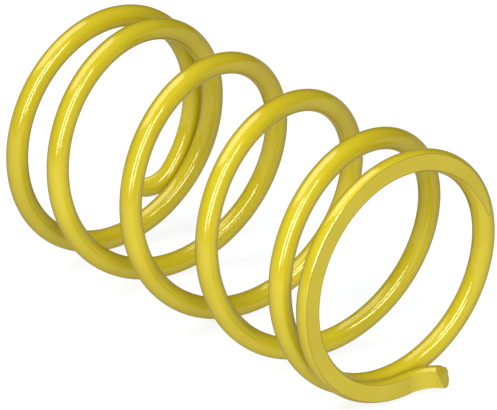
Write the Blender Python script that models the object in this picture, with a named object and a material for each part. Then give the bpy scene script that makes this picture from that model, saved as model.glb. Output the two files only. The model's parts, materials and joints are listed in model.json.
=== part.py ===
"""Compression coil spring lying on its side, in metres, with +Z up.

The spring is one round wire. It is built as named lengths of that wire, each an eighth
of a turn, so that the lengths can slide along X as the spring closes. The near end is
at +X. Each end has a closed turn with a flat ground on it, and a tip that is turned out
away from the coil.
"""

import math

import bmesh
import bpy
from mathutils import Vector

# Wire and coil
WIRE_DIAMETER = 0.0120
COIL_DIAMETER = 0.1266           # across the coil, from wire centre to wire centre
TURNS = 5.875                    # right-hand wound, counted from the near tip
WORKING_PITCH = 0.0603           # axial advance of each turn between the end coils
NEAR_END_PITCH = 0.0028          # the same on the closed turns
FAR_END_PITCH = 0.0043
NEAR_RAMP = (0.17, 1.87)         # turns from the near tip over which the pitch opens
FAR_RAMP = (0.16, 1.97)          # the same, counted from the far tip
START_ANGLE = math.radians(86.4)  # the near tip's place round the coil: 0 is +Y, 90 is down

# Closed ends: each tip is pressed outward until it clears the next turn, and the near
# tip is drawn in towards the axis
CLOSED_CLEARANCE = 0.0006        # between the tip and the turn beside it
TIP_PRESS_TURNS = 0.25
TIP_DRAW_IN = 0.0013
TIP_DRAW_TURNS = 0.45

# Ground flats: shares of the wire's radius, and how far they are out of square
NEAR_FLAT_OUT = 0.367            # from the tip's wire centre out to the flat
NEAR_FLAT_DEEPEST = 0.57         # the flat is never nearer the wire centre than this
FAR_FLAT_OUT = 0.20              # the far end is ground deeper
FAR_FLAT_DEEPEST = 0.40
FLAT_TILT = math.radians(1.14)
FLAT_TILT_TURN = 0.137           # where round the coil the flat stands out furthest

# Turned-out tips
TANG_LEAN = math.radians(64.0)   # turned from the wire's own direction towards the axis
TANG_TUCK = math.radians(10.0)   # turned in towards the middle of the coil
TANG_BEND_RADIUS = 1.375 * WIRE_DIAMETER
TANG_STRAIGHT = 0.0022
TANG_CUT = math.radians(16.0)    # the sheared end leans this far from square

# Division into lengths
LENGTHS_PER_TURN = 8
END_LENGTHS = 9                  # lengths at each end that stay together as it closes
STEPS_PER_LENGTH = 6
LENGTH_GAP = 0.0003
ARC_SIDES = 12
FLAT_SIDES = 4
ROUND_FLAT_ANGLE = math.radians(26.0)

YELLOW = (0.63, 0.51, 0.035, 1.0)

WIRE_RADIUS = WIRE_DIAMETER / 2
COIL_RADIUS = COIL_DIAMETER / 2


def clear_scene():
    for old in list(bpy.data.objects):
        bpy.data.objects.remove(old, do_unlink=True)


def ease(value):
    """Smooth step from 0 to 1."""
    value = min(max(value, 0.0), 1.0)
    return value * value * (3 - 2 * value)


def pitch_at(turn):
    """Axial advance per turn at this place along the wire."""
    near = ease((turn - NEAR_RAMP[0]) / (NEAR_RAMP[1] - NEAR_RAMP[0]))
    far = ease((TURNS - FAR_RAMP[0] - turn) / (FAR_RAMP[1] - FAR_RAMP[0]))
    ends = NEAR_END_PITCH * (1 - near) + FAR_END_PITCH * (1 - far)
    return WORKING_PITCH * near * far + ends


def build_rise_table(steps_per_turn=480):
    """Axial distance from the near tip, summed along the wire."""
    table = [0.0]
    step = 1.0 / steps_per_turn
    for index in range(int(round(TURNS * steps_per_turn))):
        middle = (index + 0.5) * step
        table.append(table[-1] + pitch_at(middle) * step)
    return table


RISE_TABLE = build_rise_table()


def wound_rise_at(turn):
    """Axial distance of the wire centre from the near tip, as wound."""
    place = min(max(turn / TURNS, 0.0), 1.0) * (len(RISE_TABLE) - 1)
    low = min(int(place), len(RISE_TABLE) - 2)
    share = place - low
    return RISE_TABLE[low] * (1 - share) + RISE_TABLE[low + 1] * share


def press_out(near):
    """How far a tip is pressed outward, so that the next turn lies clear of it."""
    first_turn = wound_rise_at(1.0) if near else RISE_TABLE[-1] - wound_rise_at(TURNS - 1.0)
    return max(0.0, WIRE_DIAMETER + CLOSED_CLEARANCE - first_turn)


def pressed_at(along, near):
    """The share of that press at this many turns from the tip, in metres."""
    return press_out(near) * max(0.0, 1 - along / TIP_PRESS_TURNS) ** 2


def rise_at(turn):
    """Axial distance of the wire centre from the near tip, with both tips pressed outward."""
    return wound_rise_at(turn) - pressed_at(turn, True) + pressed_at(TURNS - turn, False)


def radius_at(turn):
    """Distance of the wire centre from the axis."""
    return COIL_RADIUS - TIP_DRAW_IN * (1 - ease(turn / TIP_DRAW_TURNS))


def outward_at(turn):
    """Unit vector from the axis towards the wire."""
    angle = START_ANGLE + math.tau * turn
    return Vector((0.0, math.cos(angle), -math.sin(angle)))


def centre_at(turn):
    return outward_at(turn) * radius_at(turn) + Vector((-rise_at(turn), 0.0, 0.0))


def flat_lean(turn, from_near):
    """How far the flat moves outward for each metre further from the axis."""
    along = turn if from_near else TURNS - turn
    return math.tan(FLAT_TILT) * math.cos(math.tau * (along - FLAT_TILT_TURN))


def flat_distance(turn, from_near):
    """How far the ground flat stands from the wire centre, in wire radii."""
    sunk = wound_rise_at(turn) if from_near else RISE_TABLE[-1] - wound_rise_at(turn)
    swing = radius_at(turn) * flat_lean(turn, from_near)
    out = NEAR_FLAT_OUT if from_near else FAR_FLAT_OUT
    deepest = NEAR_FLAT_DEEPEST if from_near else FAR_FLAT_DEEPEST
    return min(max((sunk + swing) / WIRE_RADIUS + out, deepest), 1.0)


def section(distance):
    """Points round the wire, in radii, as (away from axis, towards seat).

    The first points lie on the ground flat. At distance 1 the section is a full circle.
    """
    half = max(math.acos(distance), ROUND_FLAT_ANGLE)
    points = []
    for index in range(FLAT_SIDES + 1):
        share = index / FLAT_SIDES
        if distance < math.cos(ROUND_FLAT_ANGLE):
            points.append((math.sin(half) * (1 - 2 * share), distance))
        else:
            angle = math.pi / 2 - half + 2 * half * share
            points.append((math.cos(angle), min(math.sin(angle), distance)))
    arc = math.tau - 2 * half
    for index in range(1, ARC_SIDES):
        angle = math.pi / 2 + half + arc * index / ARC_SIDES
        points.append((math.cos(angle), math.sin(angle)))
    return points


def slope_at(turn):
    """Axial advance for each metre of travel round the coil."""
    reach = 0.002
    before = max(turn - reach, 0.0)
    after = min(turn + reach, TURNS)
    return (rise_at(after) - rise_at(before)) / ((after - before) * math.tau * radius_at(turn))


def coil_ring(turn, from_near):
    """Wire section at this turn, in the plane that holds the coil's axis."""
    stretch = math.hypot(1.0, slope_at(turn))
    seat = Vector((1.0, 0.0, 0.0)) if from_near else Vector((-1.0, 0.0, 0.0))
    outward = outward_at(turn)
    centre = centre_at(turn)
    distance = flat_distance(turn, from_near)
    lean = flat_lean(turn, from_near) if distance < 1.0 else 0.0
    ring = []
    for number, (away, towards) in enumerate(section(distance)):
        if number <= FLAT_SIDES:
            towards += lean * away
        else:
            towards *= stretch
        ring.append(centre + WIRE_RADIUS * (away * outward + towards * seat))
    return ring


def tang_rings(near):
    """Rings from the end of the coil, round the bend and along to the sheared tip."""
    tip_turn = 0.0 if near else TURNS
    seat = Vector((1.0, 0.0, 0.0)) if near else Vector((-1.0, 0.0, 0.0))
    outward = outward_at(tip_turn)
    step = 0.0005 if near else -0.0005
    heading = (centre_at(tip_turn) - centre_at(tip_turn + step)).normalized()
    seat_side = (seat - heading * seat.dot(heading)).normalized()
    side = (seat_side * math.cos(TANG_TUCK) - outward * math.sin(TANG_TUCK)).normalized()
    flat = flat_distance(tip_turn, near)
    start = centre_at(tip_turn) + heading * LENGTH_GAP / 2
    bend_steps = 9
    rings = [[point + heading * LENGTH_GAP / 2 for point in coil_ring(tip_turn, near)]]
    for index in range(1, bend_steps + 2):
        turned = TANG_LEAN * min(index, bend_steps) / bend_steps
        forward = heading * math.cos(turned) + side * math.sin(turned)
        centre = start + TANG_BEND_RADIUS * (
            heading * math.sin(turned) + side * (1 - math.cos(turned))
        )
        if index > bend_steps:
            centre = centre + forward * TANG_STRAIGHT
        facing = (seat_side - forward * seat_side.dot(forward)).normalized()
        away = facing.cross(forward) if near else forward.cross(facing)
        if away.dot(outward) < 0:
            away = -away
        lean = math.tan(TANG_CUT) if index > bend_steps else 0.0
        ring = []
        for out, towards in section(flat):
            point = centre + WIRE_RADIUS * (out * away + towards * facing)
            ring.append(point + forward * (WIRE_RADIUS * out * lean))
        rings.append(ring)
    return rings


def add_length(name, rings, shift):
    """One closed length of wire through the given rings, with flat ends."""
    mesh = bpy.data.meshes.new(name)
    work = bmesh.new()
    made = [[work.verts.new(point + shift) for point in ring] for ring in rings]
    work.faces.new(made[0])
    work.faces.new(made[-1][::-1])
    sides = len(made[0])
    for first, second in zip(made, made[1:]):
        for index in range(sides):
            after = (index + 1) % sides
            work.faces.new((first[index], second[index], second[after], first[after]))
    bmesh.ops.recalc_face_normals(work, faces=work.faces)
    work.to_mesh(mesh)
    work.free()
    for face in mesh.polygons:
        face.use_smooth = len(face.vertices) == 4
    part = bpy.data.objects.new(name, mesh)
    bpy.context.scene.collection.objects.link(part)
    mesh.materials.append(paint(name + "_paint"))
    return part


def paint(name):
    """Glossy yellow paint."""
    made = bpy.data.materials.new(name)
    made.use_nodes = True
    shader = made.node_tree.nodes["Principled BSDF"]
    shader.inputs["Base Color"].default_value = YELLOW
    shader.inputs["Roughness"].default_value = 0.22
    shader.inputs["Metallic"].default_value = 0.0
    made.diffuse_color = YELLOW
    return made


def length_rings(index, total):
    """Rings of one length of the coil, cut back at both ends to leave the working gap."""
    from_near = index < total / 2
    trim = LENGTH_GAP / 2 / (math.tau * COIL_RADIUS)
    start = index / LENGTHS_PER_TURN + trim
    end = (index + 1) / LENGTHS_PER_TURN - trim
    rings = []
    for step in range(STEPS_PER_LENGTH + 1):
        rings.append(coil_ring(start + (end - start) * step / STEPS_PER_LENGTH, from_near))
    return rings


def build():
    clear_scene()
    total = int(round(TURNS * LENGTHS_PER_TURN))
    lengths = {}
    for index in range(total):
        if index < END_LENGTHS:
            name = f"near_end_coil_{index + 1}"
        elif index >= total - END_LENGTHS:
            name = f"far_end_coil_{index - total + END_LENGTHS + 1}"
        else:
            name = f"coil_{index - END_LENGTHS + 1:02d}"
        lengths[name] = length_rings(index, total)
    tangs = {"near_tang": tang_rings(True), "far_tang": tang_rings(False)}

    # The spring rests on the floor with its middle over the origin
    points = [p for rings in {**lengths, **tangs}.values() for ring in rings for p in ring]
    low = min(p.z for p in points)
    middle_x = (min(p.x for p in points) + max(p.x for p in points)) / 2
    middle_y = (min(p.y for p in points) + max(p.y for p in points)) / 2
    shift = Vector((-middle_x, -middle_y, -low))

    for name, rings in {**tangs, **lengths}.items():
        add_length(name, rings, shift)


build()
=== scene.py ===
# %% [markdown]
# # A yellow coil spring
#
# A compression spring is one round steel wire wound into a coil. Its last turns are wound
# closed and ground flat, so that the spring stands square in its seat, and their tips are
# turned outward into a slot of the seat. Then the whole spring is painted. The packed
# model holds the lengths of the wire as plain solids that slide along X. This lesson
# draws the fine wire over those solids, paints it, lights it and sets up the camera.

import json
import math

import bmesh
import bpy
from mathutils import Matrix, Vector


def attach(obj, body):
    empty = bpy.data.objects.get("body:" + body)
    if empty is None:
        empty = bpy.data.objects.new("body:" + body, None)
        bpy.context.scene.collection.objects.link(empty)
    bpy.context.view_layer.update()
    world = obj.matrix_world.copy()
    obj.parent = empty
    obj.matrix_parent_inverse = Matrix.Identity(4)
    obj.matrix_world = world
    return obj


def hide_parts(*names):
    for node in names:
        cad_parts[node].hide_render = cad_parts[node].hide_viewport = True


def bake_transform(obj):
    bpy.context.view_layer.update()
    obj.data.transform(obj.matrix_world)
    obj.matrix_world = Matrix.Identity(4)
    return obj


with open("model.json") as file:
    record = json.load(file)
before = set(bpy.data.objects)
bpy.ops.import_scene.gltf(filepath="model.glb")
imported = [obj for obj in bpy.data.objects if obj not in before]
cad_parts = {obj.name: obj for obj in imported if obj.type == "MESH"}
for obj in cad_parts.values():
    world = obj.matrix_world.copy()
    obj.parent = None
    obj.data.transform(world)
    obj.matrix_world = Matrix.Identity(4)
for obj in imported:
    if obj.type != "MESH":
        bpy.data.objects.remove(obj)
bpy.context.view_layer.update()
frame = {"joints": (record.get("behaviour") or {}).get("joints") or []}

# %% [markdown]
# ## The coil's own measures
#
# A spring drawing gives the wire, the coil's diameter, the turns and the pitch. The pitch
# isn't constant: the end turns are wound nearly closed, and it opens over about a turn
# and a half. The same measures shaped the solids, so the fine wire lies on them. The
# solids have a polygon for a section. The round wire is drawn a tenth of a millimetre
# thinner in the radius, and its coil a little narrower, to stay inside their box.

# %% Wire and coil, in metres and turns
WIRE_RADIUS = 0.00590
SOLID_WIRE_RADIUS = 0.0060
COIL_RADIUS = 0.06315
TURNS = 5.875
WORKING_PITCH = 0.0603
NEAR_END_PITCH = 0.0028
FAR_END_PITCH = 0.0043
NEAR_RAMP = (0.17, 1.87)
FAR_RAMP = (0.16, 1.97)
START_ANGLE = math.radians(86.4)
AXIS_AT_NEAR_TIP = Vector((0.1174134, 0.0000443, 0.0690276))
ALONG_AXIS = Vector((1.0, 0.0, 0.0))


def ease(value):
    """Smooth step from 0 to 1."""
    value = min(max(value, 0.0), 1.0)
    return value * value * (3 - 2 * value)


def pitch_at(turn):
    """Axial advance per turn at this place along the wire."""
    near = ease((turn - NEAR_RAMP[0]) / (NEAR_RAMP[1] - NEAR_RAMP[0]))
    far = ease((TURNS - FAR_RAMP[0] - turn) / (FAR_RAMP[1] - FAR_RAMP[0]))
    ends = NEAR_END_PITCH * (1 - near) + FAR_END_PITCH * (1 - far)
    return WORKING_PITCH * near * far + ends


print("pitch in the middle:", round(pitch_at(TURNS / 2) * 1000, 1), "mm")

# %% [markdown]
# A winding machine advances the wire a little with every degree of turn. The advance is
# added up here in small steps, once, and then read from the list. A changing pitch has no
# short formula for its sum, and the list is exact enough: its steps are a tenth of a
# millimetre.

# %% Add up the pitch along the wire
RISE_STEPS = 480
RISES = [0.0]
for number in range(int(TURNS * RISE_STEPS)):
    RISES.append(RISES[-1] + pitch_at((number + 0.5) / RISE_STEPS) / RISE_STEPS)


def rise_at(turn):
    """Axial distance of the wire's centre from the near tip, as wound."""
    place = min(max(turn * RISE_STEPS, 0.0), len(RISES) - 1.0)
    low = min(int(place), len(RISES) - 2)
    return RISES[low] + (RISES[low + 1] - RISES[low]) * (place - low)


print("free length between the tips:", round(RISES[-1] * 1000, 1), "mm")

# %% [markdown]
# ## Where the wire runs
#
# Each place along the wire is named by its turn, counted from the near tip. The near tip
# is drawn in a little towards the axis. A matrix for each turn carries a plain circle to
# that place: its first axis points away from the coil's axis, and its second lies along
# the axis, a little longer than the radius, because the wire crosses that plane at a
# slant.

# %% Place a section of the wire
TIP_DRAW_IN = 0.0013
TIP_DRAW_TURNS = 0.45
HEADING_STEP = 0.001


def outward_at(turn):
    """Direction from the axis to the wire."""
    angle = START_ANGLE + math.tau * turn
    return Vector((0.0, math.cos(angle), -math.sin(angle)))


def centre_at(turn):
    drawn_in = TIP_DRAW_IN * (1 - ease(turn / TIP_DRAW_TURNS))
    reach = outward_at(turn) * (COIL_RADIUS - drawn_in)
    return AXIS_AT_NEAR_TIP + reach - ALONG_AXIS * rise_at(turn)


def heading_at(turn):
    """Direction of the wire, from the near tip to the far one."""
    before = centre_at(max(turn - HEADING_STEP, 0.0))
    after = centre_at(min(turn + HEADING_STEP, TURNS))
    return (after - before).normalized()


def section_at(turn):
    """Matrix that carries a flat circle to the wire's section at this turn."""
    stretch = 1 / math.hypot(heading_at(turn).y, heading_at(turn).z)
    outward = outward_at(turn)
    made = Matrix.Identity(4)
    made.col[0][:3] = outward
    made.col[1][:3] = ALONG_AXIS * stretch
    made.col[2][:3] = outward.cross(ALONG_AXIS)
    made.col[3][:3] = centre_at(turn)
    return made


print("near tip at", [round(value, 4) for value in centre_at(0.0)])

# %% [markdown]
# ## Drawing the wire
#
# The real wire is pulled straight from a reel and bent round as it goes. A curve with a
# bevel could show it, but then every piece would end in a slightly different section.
# Here a circle is drawn along in short steps: its edges are extruded, and the new ring is
# moved by the difference between two section matrices. So two pieces that meet have the
# same ring, point for point.

# %% Draw a ring along the coil
SIDES = 56
STEPS_PER_TURN = 144


def draw_on(work, edges, matrix):
    """Extrude a ring of edges, move the new ring, and return its edges."""
    made = bmesh.ops.extrude_edge_only(work, edges=edges)["geom"]
    points = [part for part in made if isinstance(part, bmesh.types.BMVert)]
    bmesh.ops.transform(work, matrix=matrix, verts=points)
    new_points = set(points)
    new_edges = [part for part in made if isinstance(part, bmesh.types.BMEdge)]
    return [edge for edge in new_edges if new_points.issuperset(edge.verts)]


def draw_wire(work, first, last):
    """Wire from one turn to another. Returns the edges of its first and last rings."""
    points = bmesh.ops.create_circle(
        work, cap_ends=False, radius=WIRE_RADIUS, segments=SIDES, matrix=section_at(first)
    )["verts"]
    start = list(dict.fromkeys(edge for point in points for edge in point.link_edges))
    ring = start
    steps = max(1, round(abs(last - first) * STEPS_PER_TURN))
    place = first
    for number in range(1, steps + 1):
        after = first + (last - first) * number / steps
        ring = draw_on(work, ring, section_at(after) @ section_at(place).inverted())
        place = after
    return start, ring


print("a ring has", SIDES, "sides and a turn", STEPS_PER_TURN, "rings")

# %% [markdown]
# ## Shading across the joins
#
# Paint runs over the wire without a break, so no join between pieces may show. Shading
# follows the normals at the points, and at a join those would lean towards the piece's
# own end face. So the points of each shared ring get the true normal of a round wire:
# straight out from the wire's centre line. Each piece is closed with a flat face at both
# ends, as if the wire were sawn there.

# %% Finish a piece
SHARP_ANGLE = math.radians(32)


def true_normals(edges, turn):
    """Normal of a round wire at each point of a ring."""
    heading, centre = heading_at(turn), centre_at(turn)
    found = {}
    for point in dict.fromkeys(point for edge in edges for point in edge.verts):
        out = point.co - centre
        found[point] = (out - heading * out.dot(heading)).normalized()
    return found


def close_ring(work, edges):
    """One flat face over a ring."""
    return bmesh.ops.contextual_create(work, geom=edges)["faces"]


def finish_piece(name, work, normals, end_faces, paints):
    """Turn the bmesh into a shaded object with its paints."""
    bmesh.ops.recalc_face_normals(work, faces=work.faces)
    work.verts.index_update()
    work.faces.index_update()
    known = {point.index: normal for point, normal in normals.items()}
    ends = {face.index for face in end_faces}
    mesh = bpy.data.meshes.new(name)
    work.to_mesh(mesh)
    work.free()
    mesh.shade_smooth()
    mesh.set_sharp_from_angle(angle=SHARP_ANGLE)
    corners = [corner.vector.copy() for corner in mesh.corner_normals]
    for face in mesh.polygons:
        if face.index in ends:
            continue
        for corner in face.loop_indices:
            point = mesh.loops[corner].vertex_index
            if point in known:
                corners[corner] = known[point]
    mesh.normals_split_custom_set(corners)
    for paint in paints:
        mesh.materials.append(paint)
    piece = bpy.data.objects.new(name, mesh)
    bpy.context.scene.collection.objects.link(piece)
    return piece


print("edges sharper than", round(math.degrees(SHARP_ANGLE)), "degrees stay sharp")

# %% [markdown]
# ## Nodes for the paint
#
# A paint's clouds, haze and orange peel all start from noise in the object's own
# coordinates, so their sizes are real ones on the wire. Three small helpers add a node,
# a noise and a stretch of its values.

# %% Paint helpers
def add_node(tree, kind, **values):
    node = tree.nodes.new(kind)
    for name, value in values.items():
        setattr(node, name, value)
    return node


def add_noise(tree, where, per_metre, detail):
    """Noise with about this many clouds in a metre."""
    noise = add_node(tree, "ShaderNodeTexNoise")
    noise.inputs["Scale"].default_value = per_metre
    noise.inputs["Detail"].default_value = detail
    tree.links.new(where, noise.inputs["Vector"])
    return noise.outputs["Fac"]


def add_range(tree, value, found, wanted):
    """Stretch a value from one range to another."""
    node = add_node(tree, "ShaderNodeMapRange")
    for socket, number in zip(node.inputs[1:5], (*found, *wanted)):
        socket.default_value = number
    tree.links.new(value, node.inputs[0])
    return node.outputs[0]


print("paint helpers ready")

# %% [markdown]
# ## Colour and dust
#
# Sprayed enamel is a touch deeper where it lies thicker, in clouds a few centimetres
# across. Here and there a grain of dust half a millimetre wide is caught in it. Cells
# scattered through the wire hold one possible grain each, and only one cell in ten keeps
# its grain.

# %% Mix the colour
CLOUDS_PER_METRE = 26.0
CLOUD_RANGE = (0.32, 0.68)
DUST_CELLS_PER_METRE = 75.0
DUST_EDGE = (0.018, 0.030)
DUST_RARE = (0.90, 0.91)
DUST_COLOUR = (0.060, 0.045, 0.012, 1.0)


def mix_colour(tree, where, deep, bright):
    """Socket with the paint's colour, dust included."""
    clouds = add_noise(tree, where, CLOUDS_PER_METRE, 3.0)
    colour = add_node(tree, "ShaderNodeMix", data_type="RGBA")
    colour.inputs[6].default_value = deep
    colour.inputs[7].default_value = bright
    tree.links.new(add_range(tree, clouds, CLOUD_RANGE, (0.0, 1.0)), colour.inputs[0])

    cells = add_node(tree, "ShaderNodeTexVoronoi")
    cells.inputs["Scale"].default_value = DUST_CELLS_PER_METRE
    tree.links.new(where, cells.inputs["Vector"])
    grain = add_range(tree, cells.outputs["Distance"], DUST_EDGE, (1.0, 0.0))
    pick = add_node(tree, "ShaderNodeSeparateColor")
    tree.links.new(cells.outputs["Color"], pick.inputs[0])
    rare = add_range(tree, pick.outputs[0], DUST_RARE, (0.0, 1.0))
    dust = add_node(tree, "ShaderNodeMath", operation="MULTIPLY")
    tree.links.new(grain, dust.inputs[0])
    tree.links.new(rare, dust.inputs[1])

    dusty = add_node(tree, "ShaderNodeMix", data_type="RGBA")
    dusty.inputs[7].default_value = DUST_COLOUR
    tree.links.new(dust.outputs[0], dusty.inputs[0])
    tree.links.new(colour.outputs[2], dusty.inputs[6])
    return dusty.outputs[2]


print("dust cells are", round(1000 / DUST_CELLS_PER_METRE, 1), "mm apart")

# %% [markdown]
# ## Gloss yellow paint
#
# Spring paint is a thick enamel with a hard shine and a fine orange peel, a millimetre or
# two across. Its colour sits in a clear yellow coat, and at a slant there is more of that
# coat to look through. So the edges of each wire look darker than its middle. A tinted
# coat does this, with so low an index that it adds no shine of its own: the shine comes
# from the layer below, so the glints turn yellow too.

# %% Mix the gloss paint
DEEP_YELLOW = (0.500, 0.425, 0.012, 1.0)
BRIGHT_YELLOW = (0.570, 0.490, 0.020, 1.0)
COAT_YELLOW = (0.800, 0.760, 0.560, 1.0)
HAZE_PER_METRE = 140.0
HAZE_RANGE = (0.3, 0.7)
PEEL_PER_METRE = 650.0
PEEL_HEIGHT = 0.0003
PEEL_STRENGTH = 0.10
PAINT_SHINE = {"IOR": 1.75, "Coat Weight": 1.0, "Coat IOR": 1.03, "Coat Roughness": 0.1}


def mix_paint(name, deep, bright, roughness):
    """Material for paint between two colours and two roughnesses."""
    made = bpy.data.materials.new(name)
    made.use_nodes = True
    tree = made.node_tree
    shader = tree.nodes["Principled BSDF"]
    where = add_node(tree, "ShaderNodeTexCoord").outputs["Object"]
    tree.links.new(mix_colour(tree, where, deep, bright), shader.inputs["Base Color"])
    haze = add_noise(tree, where, HAZE_PER_METRE, 4.0)
    haze = add_range(tree, haze, HAZE_RANGE, roughness)
    tree.links.new(haze, shader.inputs["Roughness"])
    peel = add_node(tree, "ShaderNodeBump")
    peel.inputs["Strength"].default_value = PEEL_STRENGTH
    peel.inputs["Distance"].default_value = PEEL_HEIGHT
    height = add_noise(tree, where, PEEL_PER_METRE, 2.0)
    tree.links.new(height, peel.inputs["Height"])
    tree.links.new(peel.outputs[0], shader.inputs["Normal"])
    for socket, value in PAINT_SHINE.items():
        shader.inputs[socket].default_value = value
    shader.inputs["Coat Tint"].default_value = COAT_YELLOW
    return made


GLOSS_YELLOW = mix_paint("gloss_yellow_paint", DEEP_YELLOW, BRIGHT_YELLOW, (0.12, 0.18))
print("mixed", GLOSS_YELLOW.name)

# %% [markdown]
# ## Paint over ground steel
#
# The seats were ground before painting. The paint lies on a ground face there, so it
# looks flatter and a little deeper in colour, with less of the gloss. The rim of a ground
# face shows a thin dark line of painted shade, in a dark olive paint.

# %% Mix the paint of the seats and the painted shade of their rims
DEEP_SEAT = (0.490, 0.415, 0.016, 1.0)
BRIGHT_SEAT = (0.560, 0.480, 0.024, 1.0)
# Dark olive: painted shade along the rim of each ground face.
DEEP_RIM_SHADE = (0.170, 0.145, 0.020, 1.0)
BRIGHT_RIM_SHADE = (0.260, 0.225, 0.030, 1.0)
SEAT_YELLOW = mix_paint("paint_over_ground_steel", DEEP_SEAT, BRIGHT_SEAT, (0.26, 0.36))
PAINTED_RIM_SHADE = mix_paint("painted_shade_on_a_ground_rim", DEEP_RIM_SHADE, BRIGHT_RIM_SHADE, (0.30, 0.42))
END_PAINTS = [GLOSS_YELLOW, SEAT_YELLOW, PAINTED_RIM_SHADE]
print("mixed", SEAT_YELLOW.name, "and", PAINTED_RIM_SHADE.name)

# %% [markdown]
# ## How the coil closes
#
# Between the two end turns the wire twists as the spring closes, so no length of it is
# rigid. The far end's travel is the spring's stroke, and each place on the wire takes its
# own share of it. The solids give that share at the middle of each eighth of a turn.
# Half-way between two middles it is read from a smooth curve through four of them, so
# that the wire has no kinks.

# %% Each place's share of the stroke
LENGTHS_PER_TURN = 8
END_LENGTHS = 9
COIL_LENGTHS = 29
TRAVEL = {joint["child"]: joint["range_m"][1] for joint in frame["joints"]}
STROKE = TRAVEL["far_end"]
SHARES = [0.0]
for number in range(1, COIL_LENGTHS + 1):
    SHARES.append(TRAVEL[f"coil_{number:02d}"] / STROKE)
SHARES.append(1.0)
FIRST_MIDDLE = (END_LENGTHS - 0.5) / LENGTHS_PER_TURN
LAST_MIDDLE = FIRST_MIDDLE + (COIL_LENGTHS + 1) / LENGTHS_PER_TURN


def share_at(half):
    """Share of the stroke at a count of half lengths from the first middle."""
    low = half // 2
    if half % 2 == 0:
        return SHARES[low]
    beyond = SHARES[max(low - 1, 0)] + SHARES[min(low + 2, len(SHARES) - 1)]
    return (9 * (SHARES[low] + SHARES[low + 1]) - beyond) / 16


print("stroke:", round(STROKE * 1000, 1), "mm over", LAST_MIDDLE - FIRST_MIDDLE, "turns")

# %% [markdown]
# Here the share of the stroke half-way along the working coils is read from that curve.


print("half-way, a place takes", round(share_at(COIL_LENGTHS + 1), 3), "of the stroke")

# %% [markdown]
# ## The working coils
#
# This is the part of the spring that springs. It is drawn in sixteenths of a turn, short
# enough that the wire hardly bends within a piece. A solid length of the coil ends at two
# joins, so two pieces cover it.

# %% Draw the working coils
PIECE_TURNS = 0.5 / LENGTHS_PER_TURN


def make_coil_wire(number):
    first = FIRST_MIDDLE + number * PIECE_TURNS
    last = first + PIECE_TURNS
    work = bmesh.new()
    start_ring, end_ring = draw_wire(work, first, last)
    normals = true_normals(start_ring, first) | true_normals(end_ring, last)
    ends = close_ring(work, start_ring) + close_ring(work, end_ring)
    piece = finish_piece(f"coil_wire_{number + 1:02d}", work, normals, ends, [GLOSS_YELLOW])
    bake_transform(piece)
    length = (number + 1) // 2
    if 1 <= length <= COIL_LENGTHS:
        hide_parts(f"coil_{length:02d}")
    return piece


coil_wires = [make_coil_wire(number) for number in range(2 * (COIL_LENGTHS + 1))]
print("working coils:", len(coil_wires), "pieces of wire")

# %% [markdown]
# ## The ground seats
#
# Each end turn is pressed against a grinding wheel, which takes a flat off the outer
# side of the wire. The wheel isn't quite square to the axis, and the flat fades out where
# the wire climbs away from it. In the model one plane cuts the wire, the cut is filled,
# and a narrow band round the filled face gets painted shade: a dark rim. The flat stops
# at the sawn tip without a band, because it runs on into the turned-out tip.

# %% Grind a seat
NEAR_SEAT_OUT = 0.0022
FAR_SEAT_OUT = 0.0012
SEAT_TILT = math.radians(1.14)
SEAT_TILT_TURN = 0.137
RIM_WIDTH = 0.00034
# The last slot holds the painted shade of the rims.
PAINT_SLOT, SEAT_SLOT, RIM_SHADE_SLOT = range(len(END_PAINTS))


def side_of(near):
    """Direction from the coil out to the seat."""
    return ALONG_AXIS if near else -ALONG_AXIS


def seat_plane(near):
    """Point and outward normal of the ground seat."""
    tip = 0.0 if near else TURNS
    seat_out = NEAR_SEAT_OUT if near else FAR_SEAT_OUT
    highest = outward_at(SEAT_TILT_TURN if near else TURNS - SEAT_TILT_TURN)
    point = AXIS_AT_NEAR_TIP - ALONG_AXIS * rise_at(tip) + side_of(near) * seat_out
    return point, (side_of(near) - highest * math.tan(SEAT_TILT)).normalized()


def is_end_face(face):
    """A face over a whole ring has far more points than any other."""
    return len(face.verts) > SIDES / 2


def cut_edges(work, parts, point, normal):
    """Cut everything beyond a plane away, and return the edges of the cut."""
    cut = bmesh.ops.bisect_plane(
        work, geom=parts, plane_co=point, plane_no=normal, clear_outer=True
    )["geom_cut"]
    return [part for part in cut if isinstance(part, bmesh.types.BMEdge)]


def grind(work, near):
    point, normal = seat_plane(near)
    everything = list(work.verts) + list(work.edges) + list(work.faces)
    rim = cut_edges(work, everything, point, normal)
    made = bmesh.ops.triangle_fill(work, use_beauty=True, edges=rim, normal=normal)
    seat = [part for part in made["geom"] if isinstance(part, bmesh.types.BMFace)]
    for face in seat:
        face.material_index = SEAT_SLOT
    # The band round the seat is dark olive, painted shade along its rim; at the tip it
    # keeps the seat's paint.
    band = bmesh.ops.inset_region(
        work, faces=seat, use_boundary=True, use_even_offset=True, thickness=RIM_WIDTH
    )["faces"]
    for face in band:
        beside = (other for edge in face.edges for other in edge.link_faces)
        at_tip = any(is_end_face(other) for other in beside)
        face.material_index = SEAT_SLOT if at_tip else RIM_SHADE_SLOT


print("seats lean", round(math.degrees(SEAT_TILT), 2), "degrees from square")

# %% [markdown]
# After grinding, the last quarter turn is pressed outward until its tip clears the next
# turn. Each point of the wire has to know how near the tip it is. So every point carries
# its turn, found from its angle round the axis.

# %% Press a tip outward
CLOSED_CLEARANCE = 0.0006
TIP_PRESS_TURNS = 0.25
TURN_SLACK = 0.02


def turn_of(place, join, tip):
    """Turn at which a point of an end turn lies, from its angle round the axis."""
    offset = place - AXIS_AT_NEAR_TIP
    angle = math.atan2(-offset.z, offset.y) - START_ANGLE
    share = (angle / math.tau) % 1.0
    low, high = min(join, tip) - TURN_SLACK, max(join, tip) + TURN_SLACK
    choices = [share + count for count in range(-1, int(TURNS) + 2)]
    inside = [value for value in choices if low <= value <= high]
    return min(inside, key=lambda value: abs(centre_at(value).x - place.x))


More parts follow.
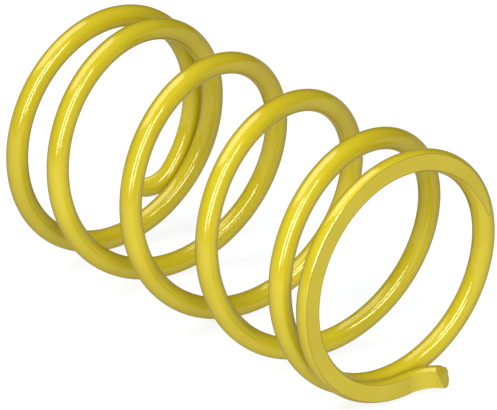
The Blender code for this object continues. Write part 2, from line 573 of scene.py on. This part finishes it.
def press_needed(near):
    """How far the tip has to move out along the axis."""
    first_turn = rise_at(1.0) if near else rise_at(TURNS) - rise_at(TURNS - 1.0)
    return max(0.0, 2 * SOLID_WIRE_RADIUS + CLOSED_CLEARANCE - first_turn)


def press_slope(near):
    """How much the pressed tip leans outward for each metre along the wire."""
    return 2 * press_needed(near) / (TIP_PRESS_TURNS * math.tau * COIL_RADIUS)


def press_tip(work, near, turns):
    """Move each point outward by how near it is to the tip."""
    for point in work.verts:
        along = point[turns] if near else TURNS - point[turns]
        share = max(0.0, 1 - along / TIP_PRESS_TURNS) ** 2
        point.co += side_of(near) * (press_needed(near) * share)


print("near tip moves out", round(press_needed(True) * 1000, 2), "mm")
print("far tip moves out", round(press_needed(False) * 1000, 2), "mm")

# %% [markdown]
# ## The turned-out tips
#
# The last few millimetres of the wire are bent out of the coil, so that the tip catches
# in a slot of its seat and the spring can't turn. The bend is made as the wire was bent:
# the end ring, flat and all, is turned about the bend's centre in small steps, and then
# drawn straight.

# %% Bend a tip
TANG_LEAN = math.radians(64.0)
TANG_TUCK = math.radians(10.0)
TANG_BEND_RADIUS = 0.0165
TANG_STRAIGHT = 0.0018
TANG_CUT = math.radians(16.0)
BEND_STEPS = 18


def bend_directions(near):
    """Wire's heading at the tip, and the side that it bends to."""
    tip = 0.0 if near else TURNS
    side_out = side_of(near)
    heading = heading_at(tip) * (-1 if near else 1)
    heading = (heading + side_out * press_slope(near)).normalized()
    seat_side = (side_out - heading * side_out.dot(heading)).normalized()
    side = seat_side * math.cos(TANG_TUCK) - outward_at(tip) * math.sin(TANG_TUCK)
    return heading, (side - heading * side.dot(heading)).normalized()


def bend_tip(work, near, edges, spare):
    """Bend the tip's ring out, then draw it straight. Returns the new end and heading."""
    centre = centre_at(0.0 if near else TURNS) + side_of(near) * press_needed(near)
    heading, side = bend_directions(near)
    hinge = heading.cross(side)
    middle = centre + side * TANG_BEND_RADIUS
    step = Matrix.Rotation(TANG_LEAN / BEND_STEPS, 4, hinge)
    turn_step = Matrix.Translation(middle) @ step @ Matrix.Translation(-middle)
    for _ in range(BEND_STEPS):
        edges = draw_on(work, edges, turn_step)
    forward = heading * math.cos(TANG_LEAN) + side * math.sin(TANG_LEAN)
    draw_on(work, edges, Matrix.Translation(forward * (TANG_STRAIGHT + spare)))
    bent = middle + Matrix.Rotation(TANG_LEAN, 3, hinge) @ (centre - middle)
    return bent + forward * TANG_STRAIGHT, forward


print("tips lean", round(math.degrees(TANG_LEAN)), "degrees out of the coil")

# %% [markdown]
# A cropping tool shears the wire off at a slant. The straight end is drawn a little too
# long, a slanted plane cuts it, the cut is closed with one face, and that face's edge is
# rounded over by a third of a millimetre and given the rims' painted shade.

# %% Shear a tip
CUT_ROUNDING = 0.00035


def shear_tip(work, tang, place, forward, outward):
    """Cut the tip at a slant and round the edge of the cut."""
    away = (outward - forward * outward.dot(forward)).normalized()
    parts = dict.fromkeys(tang)
    for face in tang:
        parts.update(dict.fromkeys((*face.edges, *face.verts)))
    slanted = (forward - away * math.tan(TANG_CUT)).normalized()
    rim = cut_edges(work, list(parts), place, slanted)
    cap = close_ring(work, rim)[0]
    # The rounded edge of the cut gets the dark olive of painted shade, as the seats' rims
    # do.
    bmesh.ops.bevel(
        work,
        geom=list(cap.edges),
        affect="EDGES",
        offset=CUT_ROUNDING,
        segments=3,
        profile=0.5,
        material=RIM_SHADE_SLOT,
        clamp_overlap=True,
    )


print("tips are sheared", round(math.degrees(TANG_CUT)), "degrees from square")

# %% [markdown]
# ## The two end turns
#
# Each end turn is one rigid piece of wire: it lies against its seat and doesn't twist. It
# is drawn from its join with the working coils to its tip, then ground, pressed, bent and
# sheared.

# %% Make an end turn
def find_tip_face(work, tip):
    """The flat face over the wire's end at the tip."""
    for face in work.faces:
        if face.material_index == PAINT_SLOT and is_end_face(face):
            if (face.calc_center_median() - centre_at(tip)).length < 2 * WIRE_RADIUS:
                return face
    return None


def make_end(name, near, body, nodes):
    join, tip = (FIRST_MIDDLE, 0.0) if near else (LAST_MIDDLE, TURNS)
    work = bmesh.new()
    turns = work.verts.layers.float.new("turn")
    start_ring, tip_ring = draw_wire(work, join, tip)
    normals = true_normals(start_ring, join)
    ends = close_ring(work, start_ring)
    close_ring(work, tip_ring)
    grind(work, near)
    for point in work.verts:
        point[turns] = turn_of(point.co, join, tip)
    press_tip(work, near, turns)

    tip_face = find_tip_face(work, tip)
    edges = list(tip_face.edges)
    coil = set(work.faces)
    bmesh.ops.delete(work, geom=[tip_face], context="FACES_ONLY")
    spare = 2 * WIRE_RADIUS * math.tan(TANG_CUT)
    place, forward = bend_tip(work, near, edges, spare)
    tang = [face for face in work.faces if face not in coil]
    shear_tip(work, tang, place, forward, outward_at(tip))

    piece = finish_piece(name, work, normals, ends, END_PAINTS)
    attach(piece, body)
    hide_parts(*nodes)
    print(name, "has", len(piece.data.polygons), "faces")


END_NUMBERS = range(1, END_LENGTHS + 1)
near_nodes = ["near_tang"] + [f"near_end_coil_{number}" for number in END_NUMBERS]
far_nodes = ["far_tang"] + [f"far_end_coil_{number}" for number in END_NUMBERS]
make_end("near_end_turn", True, "near_end", near_nodes)
make_end("far_end_turn", False, "far_end", far_nodes)

# %% [markdown]
# ## White table
#
# The spring lies on a flat white sheet that gives some light of its own, as an acrylic
# table lit from below would. That light fills the shadows between the coils, so they
# stay faint.

# %% Lay the table
FLOOR_SIZE = 14.0
FLOOR_SOCKETS = {
    "Base Color": (0.18, 0.18, 0.185, 1.0),
    "Roughness": 0.9,
    "Specular IOR Level": 0.1,
    "Emission Color": (0.98, 0.99, 1.0, 1.0),
    "Emission Strength": 0.82,
}


def make_floor():
    work = bmesh.new()
    bmesh.ops.create_grid(work, x_segments=1, y_segments=1, size=FLOOR_SIZE / 2)
    mesh = bpy.data.meshes.new("floor")
    work.to_mesh(mesh)
    work.free()
    made = bpy.data.materials.new("white_sweep")
    made.use_nodes = True
    shader = made.node_tree.nodes["Principled BSDF"]
    for socket, value in FLOOR_SOCKETS.items():
        shader.inputs[socket].default_value = value
    mesh.materials.append(made)
    floor = bpy.data.objects.new("floor", mesh)
    bpy.context.scene.collection.objects.link(floor)
    return floor


print("laid", make_floor().name, FLOOR_SIZE, "m wide")

# %% [markdown]
# ## Lights
#
# A big soft box above gives the spring its even light. Two long upright soft boxes stand
# left and right of the camera, and draw a pair of long thin glints along each coil. They
# lean the way the wire runs round the coil there, to keep the glints long.

# %% Place the lights
MIDDLE = Vector((0.0, 0.0, 0.07))
ROUND_THE_COIL = Vector((0.0, 0.61, 0.79))
LIGHTS = {
    "soft_box": {"place": (-0.9, -0.3, 2.0), "size": (2.0, 2.0), "watts": 50.0},
    "strip_left": {"place": (0.98, -1.40, 1.15), "size": (0.22, 1.9), "watts": 30.0},
    "strip_middle": {"place": (1.62, -0.62, 1.15), "size": (0.22, 1.9), "watts": 30.0},
}


def add_light(name, place, size, watts, lean):
    """An area light that faces the spring, its length along the lean."""
    data = bpy.data.lights.new(name, "AREA")
    data.shape = "RECTANGLE"
    data.size, data.size_y = size
    data.energy = watts
    light = bpy.data.objects.new(name, data)
    bpy.context.scene.collection.objects.link(light)
    back = (Vector(place) - MIDDLE).normalized()
    long_way = (lean - back * lean.dot(back)).normalized()
    turned = Matrix((long_way.cross(back), long_way, back)).transposed().to_4x4()
    light.matrix_world = Matrix.Translation(place) @ turned


for name, light in LIGHTS.items():
    lean = ALONG_AXIS if name == "soft_box" else ROUND_THE_COIL
    add_light(name, light["place"], light["size"], light["watts"], lean)
print("lights:", ", ".join(LIGHTS))

# %% [markdown]
# The rest of the studio is a dim cool grey. It is kept dim, because the paint mirrors it
# everywhere, and a bright room would wash the yellow out.

# %% Studio air
AIR_COLOUR = (0.80, 0.83, 0.88, 1.0)
AIR_STRENGTH = 0.30
world = bpy.data.worlds.new("studio")
bpy.context.scene.world = world
world.use_nodes = True
air = world.node_tree.nodes["Background"]
air.inputs["Color"].default_value = AIR_COLOUR
air.inputs["Strength"].default_value = AIR_STRENGTH
bpy.context.scene.view_settings.view_transform = "Standard"
print("room light", AIR_STRENGTH)

# %% [markdown]
# ## Camera
#
# The camera stands a good way back with a long lens, so the far coils look nearly as
# large as the near ones. Its place is given from the near end of the coil: how far off
# it is, and how far that end lies from the middle of the view.

# %% Set up the camera
VIEW_DISTANCE = 3.061
LENS_MM = 434.3
SENSOR_MM = 36.0
NEAR_END_RIGHT_OF_MIDDLE = 0.0775
NEAR_END_BELOW_MIDDLE = 0.0373
VIEW_ELEVATION = math.radians(26.65)
VIEW_AZIMUTH = math.radians(41.14)


def add_camera():
    flat = Vector((-math.cos(VIEW_AZIMUTH), math.sin(VIEW_AZIMUTH), 0.0))
    forward = flat * math.cos(VIEW_ELEVATION) - Vector((0, 0, math.sin(VIEW_ELEVATION)))
    right = forward.cross(Vector((0, 0, 1))).normalized()
    up = right.cross(forward)
    place = AXIS_AT_NEAR_TIP - forward * VIEW_DISTANCE
    place -= right * NEAR_END_RIGHT_OF_MIDDLE
    place += up * NEAR_END_BELOW_MIDDLE
    data = bpy.data.cameras.new("camera")
    data.lens = LENS_MM
    data.sensor_width = SENSOR_MM
    data.clip_start = 0.1
    data.clip_end = 60.0
    camera = bpy.data.objects.new("camera", data)
    bpy.context.scene.collection.objects.link(camera)
    turned = Matrix((right, up, -forward)).transposed().to_4x4()
    camera.matrix_world = Matrix.Translation(place) @ turned
    bpy.context.scene.camera = camera
    return camera


camera = add_camera()
print("camera at", [round(value, 3) for value in camera.location])
